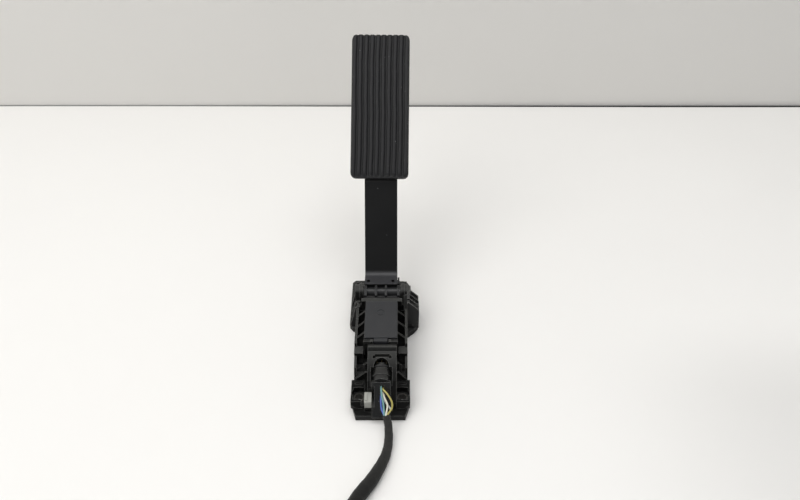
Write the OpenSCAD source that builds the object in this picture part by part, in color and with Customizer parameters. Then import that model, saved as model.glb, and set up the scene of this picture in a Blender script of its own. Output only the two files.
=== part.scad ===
// Electronic accelerator pedal module for a car floor.
// Millimetres. Mounting face on z = 0, +Y towards the pad, +X to the right of the pad face.

/* [Mounting] */
// hole spacing across the module
bolt_spacing_x = 37; // [34:0.5:50]
// hole spacing from the front feet to the rear flange
bolt_spacing_y = 126; // [120:1:150]
// bore of the steel sleeves
bolt_bore_d = 6.6; // [4.5:0.1:7]
// outer diameter of the steel sleeves
sleeve_d = 9; // [8:0.1:9.6]
// thickness of the mounting flange
flange_t = 7; // [5:0.5:9]

/* [Housing] */
// how far the front feet stand out beyond the skirts
foot_step = 2; // [1:0.25:6]
// how far the skirts stand out beyond the bearing cheeks
skirt_step = 2.4; // [2:0.1:3]
// front edge beyond the front holes
front_reach = 17; // [15:0.5:22]
// rear edge beyond the rear holes
rear_reach = 9; // [8:0.5:14]
// floor thickness
floor_t = 3.5; // [2.5:0.25:4.5]
// skirt and gusset wall thickness
wall_t = 2; // [1.6:0.1:2.6]
// height of the side skirts
skirt_h = 35; // [30:0.5:37]
// height of the front feet
foot_h = 15; // [13.5:0.5:17]
// number of gussets on each side of the spring chamber
gusset_count = 4; // [3:1:4]
// spacing of the gussets
gusset_pitch = 12; // [10:0.5:12]

/* [Spring chamber] */
// clear width of the spring chamber
chamber_w = 24; // [23:0.25:25]
// front end of the spring chamber
chamber_y = -26; // [-28:0.5:-24]
// height of the chamber walls under the cover
chamber_h = 43; // [42:0.5:44]
// thickness of the snap-on front cover
cover_t = 2.4; // [1.8:0.1:3]

/* [Pivot] */
// pivot axis, distance behind the middle of the hole pattern
pivot_y = 29.5; // [28:0.5:31]
// pivot axis, height above the mounting face
pivot_z = 38; // [37:0.5:39]
// pivot shaft diameter
shaft_d = 7; // [6:0.25:7.5]
// radial running clearance of the shaft in its bushes
running_gap = 0.04; // [0.02:0.01:0.09]
// wall of the bushes
bush_wall = 1.5; // [1.2:0.1:1.8]
// side clearance between the hub and each bearing cheek
hub_gap = 1.2; // [1:0.1:1.4]
// thickness of the bearing cheeks
cheek_t = 3.4; // [3:0.1:3.6]
// width of the pedal hub
hub_w = 32; // [31:0.2:32.4]

/* [Arm and pad] */
// width of the flat steel arm
arm_w = 30; // [24:0.5:31]
// thickness of the steel arm
arm_t = 4; // [3:0.25:4.5]
// angle of the arm above the mounting face
arm_angle = 51; // [46:0.5:54]
// straight length between the two bends
arm_len = 81; // [60:1:120]
// inside radius of the lower bend
bend_r = 8; // [6:0.5:10]
// how far the pad lies flatter than the arm
pad_turn = 8; // [4:0.5:12]
// how far the pad is turned in its own plane
pad_lean = 0.6; // [0:0.1:1]
// pad width
pad_w = 52.8; // [44:0.2:70]
// pad length
pad_len = 131; // [110:1:160]
// corner radius of the pad
pad_corner_r = 4.5; // [3:0.25:8]
// number of lengthwise grooves in the rubber
groove_count = 9; // [5:1:11]
// groove width
groove_w = 1.7; // [1.2:0.1:2.2]
// groove depth
groove_d = 2; // [1:0.1:2.5]
// rubber thickness with its ribs
rubber_t = 6.5; // [5:0.25:8]
// thickness of the stiff backing
backing_t = 3; // [2:0.25:4]

/* [Springs] */
// outer diameter of the outer spring
outer_spring_d = 19.6; // [18:0.2:20]
// wire of the outer spring
outer_wire_d = 2; // [1.6:0.1:2.2]
// outer diameter of the inner spring
inner_spring_d = 14; // [13:0.2:14.4]
// wire of the inner spring
inner_wire_d = 1.4; // [1:0.1:1.5]

/* [Plug] */
// sideways position of the plug
plug_x = 0.9; // [0.5:0.1:1.5]
// diameter of the round plug barrel
plug_d = 16.8; // [15.6:0.2:17]
// free gap around the plug in its shroud
plug_gap = 0.3; // [0.2:0.05:0.4]
// travel of the wire lock
lock_travel = 2.5; // [1.5:0.25:2.5]
// wire diameter over its insulation
wire_d = 1.5; // [1.2:0.1:1.8]

/* [Hidden] */
$fn = 48;

// shared small values
eps = 0.02;
seat_gap = 0.3;
hole_x = bolt_spacing_x / 2;
hole_y = bolt_spacing_y / 2;
front_y = -hole_y - front_reach;
rear_y = hole_y + rear_reach;

// widths that follow the hub
cheek_gap = hub_w + 2 * hub_gap;
cheek_in = cheek_gap / 2;
cheek_out = cheek_in + cheek_t;
body_x = cheek_out + skirt_step;
foot_x = body_x + foot_step;
ear_x = -body_x - 8;
sensor_x = body_x + 11;

// front feet, skirts and rear wall
foot_top_y = front_y + 8.8;
foot_groove_z = flange_t + 1.4;
foot_back = -49;
skirt_y = -51;
wall_y0 = 48;
wall_y1 = 52;
wall_h = 28;
post_h = 33;
bumper_t = 5.2;

// spring chamber
chamber_x = chamber_w / 2;
chamber_wall = 2.4;
chamber_out = chamber_x + chamber_wall;
chamber_end = pivot_y - 12;
lip_y = 13;
spring_z = 17;
deck_z = 22;
cup_t = 2;
seat_t = 3.4;
tail_y = pivot_y - 5.5;
tail_back = pivot_y + 5;
tail_w = 2 * (chamber_x - 1.6);
tail_z = 5.5;
seat_r = chamber_x - 1.4;
spring_y0 = chamber_y + cup_t;
spring_y1 = tail_y - seat_t;

// pivot
bush_d = shaft_d + 2 * (running_gap + bush_wall);
flange_w = hub_gap - 0.15;
boss_r = bush_d / 2 + 3.4;
barrel_d = shaft_d + 4;
shaft_x0 = -cheek_out - 0.6;
shaft_x1 = cheek_out + 2.4;

// arm path, written in the YZ plane
arm_x = (arm_w - hub_w) / 2;
arm_top = pivot_z + 9;
seat_z = arm_top - arm_t;
arm_front = pivot_y + 2;
bend_y = pivot_y + 11.5;
bend_z = arm_top + bend_r;
straight_y = bend_y + bend_r * sin(arm_angle);
straight_z = bend_z - bend_r * cos(arm_angle);
pad_angle = arm_angle - pad_turn;
turn_y = straight_y + arm_len * cos(arm_angle);
turn_z = straight_z + arm_len * sin(arm_angle);
pad_x = -2.3;
pad_start = 3;
pad_edge = 1.6;
arm_on_pad = pad_len - 43;
pad_rivet_at = [26, arm_on_pad - 18];
rivet_d = 6;
rail_gap = 2.2;
pad_offset_x = arm_x - pad_x;
stake_x = [-hub_w / 2 + 3.4, -hub_w / 2 + min(arm_w, hub_w) - 4];
stake_y = bend_y - 5.5;
stake_d = 2.8;
stake_head_d = 3.4;
stake_foot_d = 4.4;

// sensor
magnet_t = 1.6;
carrier_r = 4.4;
carrier_x0 = cheek_out + 0.5;
cover_x0 = body_x + 0.05;
board_x = sensor_x - 5.4;
board_t = 1.2;
cap_t = 1.2;
boss_end = shaft_x1 + magnet_t + seat_gap + 0.2 + cap_t;
screw_seat_x = body_x + 4;
screw_at = [[15.8, 12], [36.5, 13], [16.4, 32.5]];

// plug and shroud
shroud_x = 1.4;
shroud_w = 24.4;
plug_z = 26;
plug_r = plug_d / 2;
bore_r = plug_r + plug_gap;
shroud_back = -31.8;
shroud_rim = -36.8;
rim_z = 42;
plug_tip = -45;
seal_y = plug_tip - 3;
cuff_y0 = -56.4;
cuff_y1 = -50;
block_w = 15.6;
block_y = -61;
plug_end = -82;
slot_x = plug_x + 0.75;
slot_w = 3.4;
lock_w = 6;
lock_y0 = -75.2;
lock_y1 = -65.5;
lock_z0 = 12;
lock_z1 = 20.5;
lock_x1 = plug_x - block_w / 2 - seat_gap;
tongue_l = 4;
tongue_y0 = -71;
tongue_y1 = -67.5;
tongue_z0 = 12.6;
tongue_z1 = 14.6;
lead_pins = [[-4, 2.5], [0, 2.5], [4, 2.5], [-4, -2.5], [0, -2.5], [4, -2.5]];

// wires end inside the taped sleeve
sleeve_start = [5.6, -85.5, 15];
sleeve_path = [sleeve_start, [6.6, -88.5, 11.6], [7.2, -93, 8], [7.3, -99, 5], [6.6, -106, 4],
    [5, -113, 4.2], [2.2, -120, 4.6], [-1.4, -127, 5.1], [-5.4, -134, 5.5], [-9.8, -140, 5.8],
    [-14.2, -146, 5.9], [-17.4, -151, 5.9], [-19.8, -155.5, 5.9]];
sleeve_radii = [3.2, 3.4, 3.5, 3.6, 3.8, 4.1, 4.5, 5, 5.4, 5.7, 5.8, 5.8, 5.8];
wire_sides = 8;
blue_turn = 100;
teal_turn = 50;
white_turn = 0;
yellow_turn = 310;
grey_turn = 258;

module span(x0, x1, y0, y1, z0, z1) {
    translate([x0, y0, z0]) cube([x1 - x0, y1 - y0, z1 - z0]);
}

// box on the left (side -1) or the right (side 1), from x0 to x1 away from the middle
module side_span(side, x0, x1, y0, y1, z0, z1) {
    span(min(side * x0, side * x1), max(side * x0, side * x1), y0, y1, z0, z1);
}

// extrudes a YZ outline from x0 to x1
module across(x0, x1) {
    translate([x0, 0, 0]) rotate([90, 0, 90]) linear_extrude(x1 - x0) children();
}

// extrudes an XZ outline from y0 to y1
module along(y0, y1) {
    translate([0, y1, 0]) rotate([90, 0, 0]) linear_extrude(y1 - y0) children();
}

// cylinder along X
module rod_x(x0, x1, y, z, d) {
    translate([x0, y, z]) rotate([0, 90, 0]) cylinder(h = x1 - x0, d = d);
}

// cylinder along Y
module rod_y(y0, y1, x, z, d) {
    translate([x, y1, z]) rotate([90, 0, 0]) cylinder(h = y1 - y0, d = d);
}

module four_holes(d, z0, z1) {
    for (sx = [-1, 1]) for (sy = [-1, 1])
        translate([sx * hole_x, sy * hole_y, z0]) cylinder(h = z1 - z0, d = d);
}

module flange_outline() {
    polygon([
        [-foot_x, front_y + 13], [-foot_x + 4, front_y], [foot_x - 4, front_y], [foot_x, front_y + 13],
        [foot_x, skirt_y - 3], [body_x, skirt_y], [body_x, 5], [sensor_x - 4, 11], [sensor_x - 0.5, 16],
        [sensor_x - 0.5, 45], [body_x + 5, wall_y1 + 5], [hole_x + 0.5, rear_y - 2.5], [hole_x - 2.5, rear_y],
        [ear_x + 3, rear_y], [ear_x, rear_y - 3], [ear_x, 17], [ear_x + 3, 13], [-body_x, 10],
        [-body_x, skirt_y], [-foot_x, skirt_y - 3]
    ]);
}

module feet() {
    for (side = [-1, 1]) {
        inner = side < 0 ? lock_x1 - lock_w : shroud_x + shroud_w / 2;
        x0 = min(inner, side * foot_x);
        x1 = max(inner, side * foot_x);
        difference() {
            // sloping front over a shadow groove
            across(x0, x1) polygon([[foot_back, flange_t - eps], [foot_back, foot_h - 1.5],
                [foot_back - 1.5, foot_h], [foot_top_y, foot_h], [foot_top_y - 3.2, foot_groove_z + 1.2],
                [foot_top_y - 2.4, foot_groove_z], [foot_top_y - 2.4, flange_t - eps]]);
            // sloping front corner
            translate([side * foot_x, front_y, 0]) rotate([0, 0, side * 20])
                translate([-3, -8, flange_t - 1]) cube([6, 15, foot_h]);
            // pocket for the bolt head
            translate([side * hole_x, -hole_y, flange_t + 1]) cylinder(h = foot_h, d = sleeve_d + 2.6);
            side_span(side, 13.6, foot_x - 1.8, -hole_y - 6, -hole_y + 5.4, flange_t + 1, foot_h + 1);
            // notch that the wire lock slides into
            if (side < 0)
                span(lock_x1 - lock_w - lock_travel - 0.4, lock_x1 - lock_w + 1, lock_y0 - 0.4, lock_y1 + 0.4,
                    lock_z0 - 0.4, foot_h + 1);
            // narrow slot behind the bolt
            side_span(side, 15.5, foot_x - 3, foot_back - 5.4, foot_back - 4.2, flange_t, foot_h + 1);
        }
    }
    // low step in front of the wire lock
    span(lock_x1 - lock_w - eps, plug_x - block_w / 2 - plug_gap, foot_top_y - 4.2, lock_y0 - 0.6, flange_t - eps, 11);
}

module skirts() {
    for (side = [-1, 1]) {
        x0 = side < 0 ? -body_x : body_x - wall_t;
        difference() {
            across(x0, x0 + wall_t) polygon([
                [skirt_y, floor_t - 1], [skirt_y, 14], [skirt_y + 7, 24], [-30, 30], [-26, skirt_h],
                [wall_y1 - 12, skirt_h], [wall_y1 - 6, wall_h], [wall_y1, wall_h], [wall_y1, floor_t - 1]]);
            // relief slots low in the skirts
            for (y = [-20, -4]) span(x0 - 1, x0 + wall_t + 1, y, y + 8, 8, deck_z - 4);
        }
    }
}

module gussets() {
    for (i = [0 : gusset_count - 1]) {
        y = lip_y + 3 - i * gusset_pitch;
        for (side = [-1, 1])
            along(y - wall_t / 2, y + wall_t / 2) polygon([
                [side * (chamber_out - 0.5), floor_t - 1], [side * (chamber_out - 0.5), chamber_h - 0.5],
                [side * chamber_out, chamber_h - 0.5], [side * (body_x - 1), skirt_h - 1],
                [side * (body_x - 1), floor_t - 1]]);
    }
}

// shallow decks that close the bottoms of the side pockets
module decks() {
    for (side = [-1, 1]) {
        side_span(side, chamber_out - 1, body_x - 1, chamber_y - 3, lip_y + 1, deck_z - 2, deck_z);
        side_span(side, shroud_w / 2 - 1, body_x - 1, skirt_y + 1, chamber_y - 2, deck_z - 8, deck_z - 6);
    }
}

module chamber() {
    difference() {
        span(-chamber_out, chamber_out, chamber_y - chamber_wall, chamber_end, floor_t - 1, chamber_h);
        span(-chamber_x, chamber_x, chamber_y, chamber_end + 1, floor_t, chamber_h + 1);
        // the walls are lower beside the swinging hub
        span(-chamber_out - 1, chamber_out + 1, lip_y + 4, chamber_end + 1, 26, chamber_h + 1);
    }
    // lip behind the cover
    span(-cheek_in - 1, cheek_in + 1, lip_y, lip_y + 3.4, chamber_h - 5, chamber_h + cover_t - 0.4);
    // hooks that hold the cover
    hook_y = chamber_y - chamber_wall;
    for (side = [-1, 1]) {
        side_span(side, 6.5, 14.2, hook_y - 2.9, hook_y + eps, chamber_h - 6, chamber_h - 0.6);
        rod_x(side * 10.75 - 3.85, side * 10.75 + 3.85, hook_y - 1.7, chamber_h - 0.4, 2.2);
        side_span(side, 6.9, 8.9, hook_y - 2.9, hook_y - 0.4, chamber_h - 1, chamber_h + 1.4);
    }
}

module cheeks() {
    for (side = [-1, 1]) {
        x0 = side < 0 ? -cheek_out : cheek_in;
        across(x0, x0 + cheek_t) polygon([
            [14, floor_t - 1], [14, 30], [18.5, 30], [pivot_y - boss_r * 0.6, pivot_z + boss_r * 0.6],
            [pivot_y + boss_r * 0.6, pivot_z + boss_r * 0.6], [wall_y1 - 6, wall_h], [wall_y1, wall_h],
            [wall_y1, floor_t - 1]]);
        rod_x(x0, x0 + cheek_t, pivot_y, pivot_z, 2 * boss_r);
    }
    // left bearing boss and its ribs
    rod_x(-body_x - 1.6, -cheek_out + eps, pivot_y, pivot_z, 2 * boss_r - 2);
    for (y = [pivot_y - 15, pivot_y - 9, pivot_y - 3, pivot_y + 9])
        along(y - 0.8, y + 0.8) polygon([
            [-cheek_out + 0.5, flange_t - 1], [-cheek_out + 0.5, pivot_z - 2], [-body_x - 1, pivot_z - 3],
            [ear_x + 1.5, flange_t + 4], [ear_x + 1.5, flange_t - 1]]);
    // right bearing boss
    rod_x(cheek_out - eps, body_x, pivot_y, pivot_z, 2 * boss_r - 2);
}

module rear_wall() {
    span(-cheek_in - 1, cheek_in + 1, wall_y0, wall_y1, floor_t - 1, wall_h);
    // wall behind the idle bumper
    span(-cheek_in - 1, cheek_in + 1, tail_back + 3.6, tail_back + 6.6, floor_t - 1, wall_h - 1);
    // post under the full travel bumper
    span(-9, 9, tail_back + 6, wall_y1, floor_t - 1, post_h);
    // ribs from the rear wall down to the rear flange
    for (x = [-body_x - 1, -9, 0, 9, cheek_in + 2.8])
        across(x - wall_t / 2, x + wall_t / 2) polygon([
            [wall_y1 - 1, flange_t - 1], [wall_y1 - 1, wall_h - 1], [wall_y1 + 1, wall_h - 1],
            [rear_y - 8, flange_t], [rear_y - 8, flange_t - 1]]);
    for (sx = [-1, 1]) translate([sx * hole_x, hole_y, flange_t - eps]) cylinder(h = 1.6, d = sleeve_d + 5);
}

module shroud() {
    x0 = shroud_x - shroud_w / 2;
    x1 = shroud_x + shroud_w / 2;
    difference() {
        across(x0, x1) polygon([[shroud_back, floor_t - 1], [shroud_back, rim_z - 1], [shroud_back - 1, rim_z],
            [shroud_rim + 1.5, rim_z], [shroud_rim, rim_z - 1.2], [shroud_rim - 0.6, rim_z - 2.4], [-60, 29],
            [-72.6, 18.4], [-73.8, 16.8], [-73.8, floor_t - 1]]);
        // round socket for the plug barrel
        rod_y(block_y + 1, plug_tip + 9, plug_x, plug_z, 2 * bore_r);
        // open channel for the plug block
        span(plug_x - block_w / 2 - plug_gap, plug_x + block_w / 2 + plug_gap, -80, block_y + 1.4,
            floor_t + 3.1, rim_z);
        span(plug_x - bore_r - 0.4, plug_x + bore_r + 0.4, block_y - 2, cuff_y1 + 0.4, plug_z, rim_z + 1);
        // latch window near the rim, with a short foot at each end
        span(shroud_x - 6.4, shroud_x + 6.4, shroud_rim - 5.2, shroud_rim - 3, 31, rim_z);
        for (side = [-1, 1])
            span(shroud_x + side * 6.8 - 1.3, shroud_x + side * 6.8 + 1.3, shroud_rim - 6.4, shroud_rim - 4, 33, rim_z);
        // groove under the rim
        span(x0 - 1, x1 + 1, shroud_back - 1.9, shroud_back - 1.2, rim_z - 0.8, rim_z + 1);
        // domed window above the plug barrel
        translate([plug_x, cuff_y1 + 0.8, plug_z + 4]) cylinder(h = 20, r = 6.6);
        // side that the wire lock slides through
        span(x0 - 1, plug_x - 6, lock_y0 - 6, lock_y1 + 0.4, lock_z0 - 0.4, rim_z);
    }
    // side blocks and ribs next to the shroud
    for (side = [-1, 1]) {
        xs = side < 0 ? x0 : x1;
        side_span(side, 15.4, body_x, shroud_back - 2.7, chamber_y - 1, floor_t - 1, skirt_h - 3);
        for (y = [-41, -50])
            along(y - 0.8, y + 0.8) polygon([[xs - side * 0.5, floor_t - 1], [xs - side * 0.5, 27],
                [xs + side * 2, 27], [side * (body_x - 1), 17], [side * (body_x - 1), floor_t - 1]]);
        // sloping brace from the shroud to the foot
        across(side * (xs * side + 3.5) - 0.8, side * (xs * side + 3.5) + 0.8) polygon([[skirt_y + 1, floor_t - 1],
            [-42, 27], [skirt_y - 1, foot_h - 1], [skirt_y - 2, floor_t - 1]]);
    }
}

module housing() {
    color("#242527") difference() {
        union() {
            linear_extrude(floor_t) flange_outline();
            difference() {
                linear_extrude(flange_t) flange_outline();
                span(-body_x + wall_t, body_x - wall_t, skirt_y + 1, wall_y1 - 2, floor_t, flange_t + 1);
                span(-body_x - 5, -body_x + wall_t + 1, 20, 40, floor_t, flange_t + 1);
            }
            feet();
            skirts();
            gussets();
            decks();
            chamber();
            cheeks();
            rear_wall();
            shroud();
            // sensor side wall
            across(cheek_out - 0.5, body_x) polygon([[11, floor_t], [11, 34], [22, 42.4], [36, 42.4], [46, 30],
                [46, floor_t]]);
        }
        four_holes(sleeve_d, -1, foot_h + 10);
        rod_x(-cheek_out - 1.2, cheek_out + 3, pivot_y, pivot_z, bush_d);
        // clear room for the magnet carrier
        rod_x(cheek_out, body_x + 1, pivot_y, pivot_z, 2 * carrier_r + 1);
        // screw holes for the sensor cover
        for (p = screw_at) rod_x(cheek_out - 1, body_x + 1, p[0], p[1], 2.4);
        // slots for the terminal leads
        lead_cut();
    }
}

module lead_cut() {
    for (p = lead_pins) rod_y(shroud_back - 12, shroud_back + 1, plug_x + p[0], plug_z + p[1], 1.2);
}

module front_cover() {
    cover_x = chamber_out - 0.3;
    color("#3a3c40") difference() {
        union() {
            span(-cover_x, cover_x, chamber_y - chamber_wall + 0.6, lip_y - seat_gap, chamber_h, chamber_h + cover_t);
            // front tab between the hooks
            span(-5.8, 5.8, chamber_y - chamber_wall - 3, chamber_y, chamber_h + eps, chamber_h + cover_t - 0.6);
            span(-5.8, 5.8, chamber_y - chamber_wall - 3, chamber_y - chamber_wall - seat_gap, chamber_h - 2.5,
                chamber_h + 0.5);
            // two rails that locate the cover in the chamber
            for (side = [-1, 1])
                span(side * (chamber_x - 1.3) - 0.8, side * (chamber_x - 1.3) + 0.8, chamber_y + 3, lip_y - 3,
                    chamber_h - 3, chamber_h + eps);
        }
        // round gate mark
        translate([-0.6, -0.6, chamber_h + cover_t - 0.3]) difference() {
            cylinder(h = 1, r = 3.4);
            translate([0, 0, -1]) cylinder(h = 3, r = 2.6);
        }
    }
}

module sensor_cover() {
    step_x = sensor_x - 4.2;
    color("#202123") difference() {
        union() {
            across(cover_x0, boss_end - cap_t) sensor_ring(0);
            rod_x(cover_x0, boss_end, pivot_y, pivot_z, 2 * carrier_r + 3.8);
            for (p = screw_at) rod_x(cover_x0, screw_seat_x + 1.4, p[0], p[1], 8.4);
            across(boss_end - 1.3, step_x) polygon([[12, 4.6], [12, 31], [30, 31], [34, 27], [40, 18],
                [41, flange_t + 0.3], [41, 4.6]]);
            across(step_x - eps, sensor_x) polygon([[12, 7.2], [12, 31], [25, 31], [33, 20], [37, 7.2]]);
            // front wall and ribs under the sloping top
            for (y = [12.7, 18, 23.3, 28.6])
                along(y - 0.7, y + 0.7) polygon([[cover_x0, 28], [cover_x0, 43], [cover_x0 + 1.5, 43.4],
                    [sensor_x - 0.6, 33.5], [sensor_x - 0.3, 28]]);
        }
        // hollow inside, with posts for the screws and the circuit board
        difference() {
            union() {
                across(cover_x0 - 1, boss_end - 2 * cap_t) sensor_ring(1.6);
                rod_x(cover_x0 - 1, boss_end - cap_t, pivot_y, pivot_z, 2 * carrier_r + 1.2);
                across(boss_end - 3, sensor_x - 2) polygon([[13.6, 8.8], [13.6, 29.2], [24.4, 29.2], [30, 21], [34.6, 8.8]]);
            }
            for (p = screw_at) rod_x(cover_x0 - 2, screw_seat_x, p[0], p[1], 5.8);
            for (p = [[20.5, 11.5], [27.5, 11.5], [22, 25.5]])
                rod_x(board_x + board_t, sensor_x, p[0], p[1], 2.6);
        }
        for (p = screw_at) {
            rod_x(cover_x0 - 1, screw_seat_x + 1, p[0], p[1], 3);
            rod_x(screw_seat_x, sensor_x + 1, p[0], p[1], 5.8);
        }
        // flat underside over the flange
        span(cover_x0 - 1, sensor_x + 1, 0, 60, 0, flange_t + 0.2);
    }
}

module sensor_ring(inset) {
    polygon([[12 + inset, flange_t + 0.2 + inset], [12 + inset, 38 - inset], [22 + inset / 2, 44.4 - inset],
        [33 - inset / 2, 44.4 - inset], [41 - inset, 28], [42 - inset, flange_t + 0.2 + inset]]);
}

module sensor_screws() {
    color("#8d8f92") for (p = screw_at) {
        rod_x(cheek_out - 0.5, screw_seat_x + eps, p[0], p[1], 2.4);
        rod_x(screw_seat_x, screw_seat_x + 1.4, p[0], p[1], 5);
    }
}

module pivot_shaft() {
    color("#9a9ca0") rod_x(shaft_x0, shaft_x1, pivot_y, pivot_z, shaft_d);
}

module bush(side) {
    inner = side * (cheek_in - flange_w);
    outer = side * cheek_out;
    color("#b9ac90") difference() {
        union() {
            rod_x(min(inner, outer), max(inner, outer), pivot_y, pivot_z, bush_d);
            rod_x(min(inner, side * cheek_in), max(inner, side * cheek_in), pivot_y, pivot_z, bush_d + 3);
        }
        rod_x(-cheek_out - 1, cheek_out + 1, pivot_y, pivot_z, shaft_d + 2 * running_gap);
    }
}

module pedal_hub() {
    hx = hub_w / 2;
    color("#2b2c2e") difference() {
        union() {
            rod_x(-hx, hx, pivot_y, pivot_z, barrel_d);
            // seat under the flat end of the arm
            span(-hx, hx, pivot_y + 1, bend_y - 0.4, seat_z - 3, seat_z);
            // clamp edge beside the arm
            span(arm_x + arm_w / 2 + 0.3, hx, pivot_y + 3, bend_y - 1, seat_z - 1, arm_top);
            // ribs around the barrel
            for (x = [-hx, -6.5, 2.6, hx - 2])
                across(x, x + 2) polygon([[pivot_y - 9, pivot_z - 3], [pivot_y - 8, pivot_z + 5],
                    [pivot_y - 3, pivot_z + 8], [arm_front - 0.4, pivot_z + 8], [arm_front - 0.4, seat_z - 1],
                    [bend_y - 1.2, seat_z - 1], [bend_y - 1.2, pivot_z], [pivot_y + 5, pivot_z - 10],
                    [pivot_y - 5, pivot_z - 10]]);
            // front web behind the pockets
            span(-hx, hx, pivot_y - 9, pivot_y - 6.8, pivot_z - 8, pivot_z + 3);
            // tail that pushes the springs
            span(-tail_w / 2, tail_w / 2, tail_y, tail_y + 3, tail_z, pivot_z);
            span(-tail_w / 2, tail_w / 2, tail_back - 2.4, tail_back, tail_z, pivot_z - 2);
            for (x = [-tail_w / 2, -1.2, tail_w / 2 - 2.4])
                span(x, x + 2.4, tail_y, tail_back, tail_z, pivot_z);
        }
        rod_x(-hx - 1, hx + 1, pivot_y, pivot_z, shaft_d);
        for (x = stake_x) {
            translate([x, stake_y, seat_z - 8]) cylinder(h = 20, d = stake_d);
            translate([x, stake_y, seat_z - 5]) cylinder(h = 2, d = stake_foot_d + 0.4);
        }
    }
}

// outline of the bent strip, front face first
function arc_points(cy, cz, r, a0, a1, n) = [for (k = [0 : n]) let (a = a0 + (a1 - a0) * k / n)
    [cy + r * cos(a), cz + r * sin(a)]];

module pedal_arm() {
    pad_end_y = turn_y + arm_on_pad * cos(pad_angle);
    pad_end_z = turn_z + arm_on_pad * sin(pad_angle);
    mitre = arm_angle - pad_turn / 2;
    color("#1d1e20") difference() {
        across(arm_x - arm_w / 2, arm_x + arm_w / 2) polygon(concat(
            [[arm_front, arm_top - arm_t], [arm_front, arm_top]],
            arc_points(bend_y, bend_z, bend_r, -90, -90 + arm_angle, 10),
            [[turn_y, turn_z], [pad_end_y, pad_end_z],
             [pad_end_y + arm_t * sin(pad_angle), pad_end_z - arm_t * cos(pad_angle)],
             [turn_y + arm_t * sin(mitre) / cos(pad_turn / 2), turn_z - arm_t * cos(mitre) / cos(pad_turn / 2)]],
            arc_points(bend_y, bend_z, bend_r + arm_t, -90 + arm_angle, -90, 14)));
        // stepped holes of the arm rivets
        for (x = stake_x) {
            translate([x, stake_y, seat_z - 1]) cylinder(h = 10, d = stake_d);
            translate([x, stake_y, arm_top - arm_t * 0.6]) cylinder(h = 10, d = stake_head_d);
        }
        on_pad() for (l = pad_rivet_at) translate([pad_offset_x, l, -arm_t - 1]) cylinder(h = 10, d = rivet_d);
    }
}

module arm_rivets() {
    color("#151515") for (x = stake_x) translate([x, stake_y, 0]) {
        translate([0, 0, seat_z - 3.5]) cylinder(h = 3.5 + arm_t * 0.4 + 0.4, d = stake_d);
        translate([0, 0, arm_top - arm_t * 0.6]) cylinder(h = 0.8, d = stake_head_d);
        translate([0, 0, seat_z - 4]) cylinder(h = 1, d = stake_foot_d);
    }
}

// frame of the pad: origin where the arm turns, Y up the pad, Z out of the pad face
module on_pad() {
    translate([pad_x, turn_y, turn_z]) rotate([pad_angle, 0, 0]) rotate([0, 0, -pad_lean]) children();
}

module rounded_plate(w, l, t, r) {
    union() {
        translate([-w / 2 + r, 0, 0]) cube([w - 2 * r, l, t]);
        translate([-w / 2, r, 0]) cube([w, l - 2 * r, t]);
        for (x = [-w / 2 + r, w / 2 - r]) for (y = [r, l - r]) translate([x, y, 0]) cylinder(h = t, r = r);
    }
}

module pad_plate() {
    color("#232426") on_pad() difference() {
        union() {
            translate([0, pad_start + pad_edge, 0])
                rounded_plate(pad_w - 2 * pad_edge, pad_len - 2 * pad_edge, backing_t, pad_corner_r - 1);
            // side rails that hug the arm
            for (side = [-1, 1])
                translate([pad_offset_x + side * (arm_w / 2 + rail_gap + 1) - 1, pad_start + 8, -arm_t])
                    cube([2, pad_len - 20, arm_t + 1]);
            // cross ribs beyond the arm
            for (l = [15, 27])
                translate([pad_offset_x - arm_w / 2 - rail_gap - 1, arm_on_pad + l, -arm_t])
                    cube([arm_w + 2 * rail_gap + 2, 2, arm_t + 1]);
        }
        for (l = pad_rivet_at) translate([pad_offset_x, l, -1]) cylinder(h = backing_t + 2, d = rivet_d);
    }
}

module pad_rivets() {
    color("#8d8f92") on_pad() for (l = pad_rivet_at) translate([pad_offset_x, l, 0]) {
        translate([0, 0, -arm_t]) cylinder(h = arm_t + backing_t, d = rivet_d);
        translate([0, 0, -arm_t - 1.6]) cylinder(h = 1.6, d = rivet_d + 4);
    }
}

module rubber_pad() {
    pitch = pad_w / (groove_count + 1);
    color("#1f2022") on_pad() translate([0, pad_start, 0]) difference() {
        rounded_plate(pad_w, pad_len, backing_t + rubber_t, pad_corner_r);
        // pocket that holds the backing
        translate([0, pad_edge, -1])
            rounded_plate(pad_w - 2 * pad_edge, pad_len - 2 * pad_edge, backing_t + 1, pad_corner_r - 1);
        for (i = [1 : groove_count])
            translate([-pad_w / 2 + i * pitch - groove_w / 2, 2.2, backing_t + rubber_t - groove_d])
                cube([groove_w, pad_len - 2.2 + 1, groove_d + 1]);
    }
}

// square frame vectors for a swept tube
function unit(v) = v / norm(v);
function tangent(path, i) = unit(path[min(i + 1, len(path) - 1)] - path[max(i - 1, 0)]);
function side_of(t) = unit(cross(t, abs(t[0]) > 0.9 ? [0, 0, 1] : [1, 0, 0]));

// polyhedron tube along a path, one radius for each point
module tube(path, radii, sides) {
    n = len(path);
    pts = [for (i = [0 : n - 1]) let (t = tangent(path, i), a = side_of(t), b = cross(t, a))
        for (k = [0 : sides - 1]) path[i] + radii[i] * (cos(360 * k / sides) * a + sin(360 * k / sides) * b)];
    faces = concat(
        [[for (k = [0 : sides - 1]) k]],
        [[for (k = [sides - 1 : -1 : 0]) (n - 1) * sides + k]],
        [for (i = [0 : n - 2]) for (k = [0 : sides - 1])
            [i * sides + k, (i + 1) * sides + k, (i + 1) * sides + (k + 1) % sides]],
        [for (i = [0 : n - 2]) for (k = [0 : sides - 1])
            [i * sides + k, (i + 1) * sides + (k + 1) % sides, i * sides + (k + 1) % sides]]);
    polyhedron(points = pts, faces = faces, convexity = 8);
}

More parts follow.
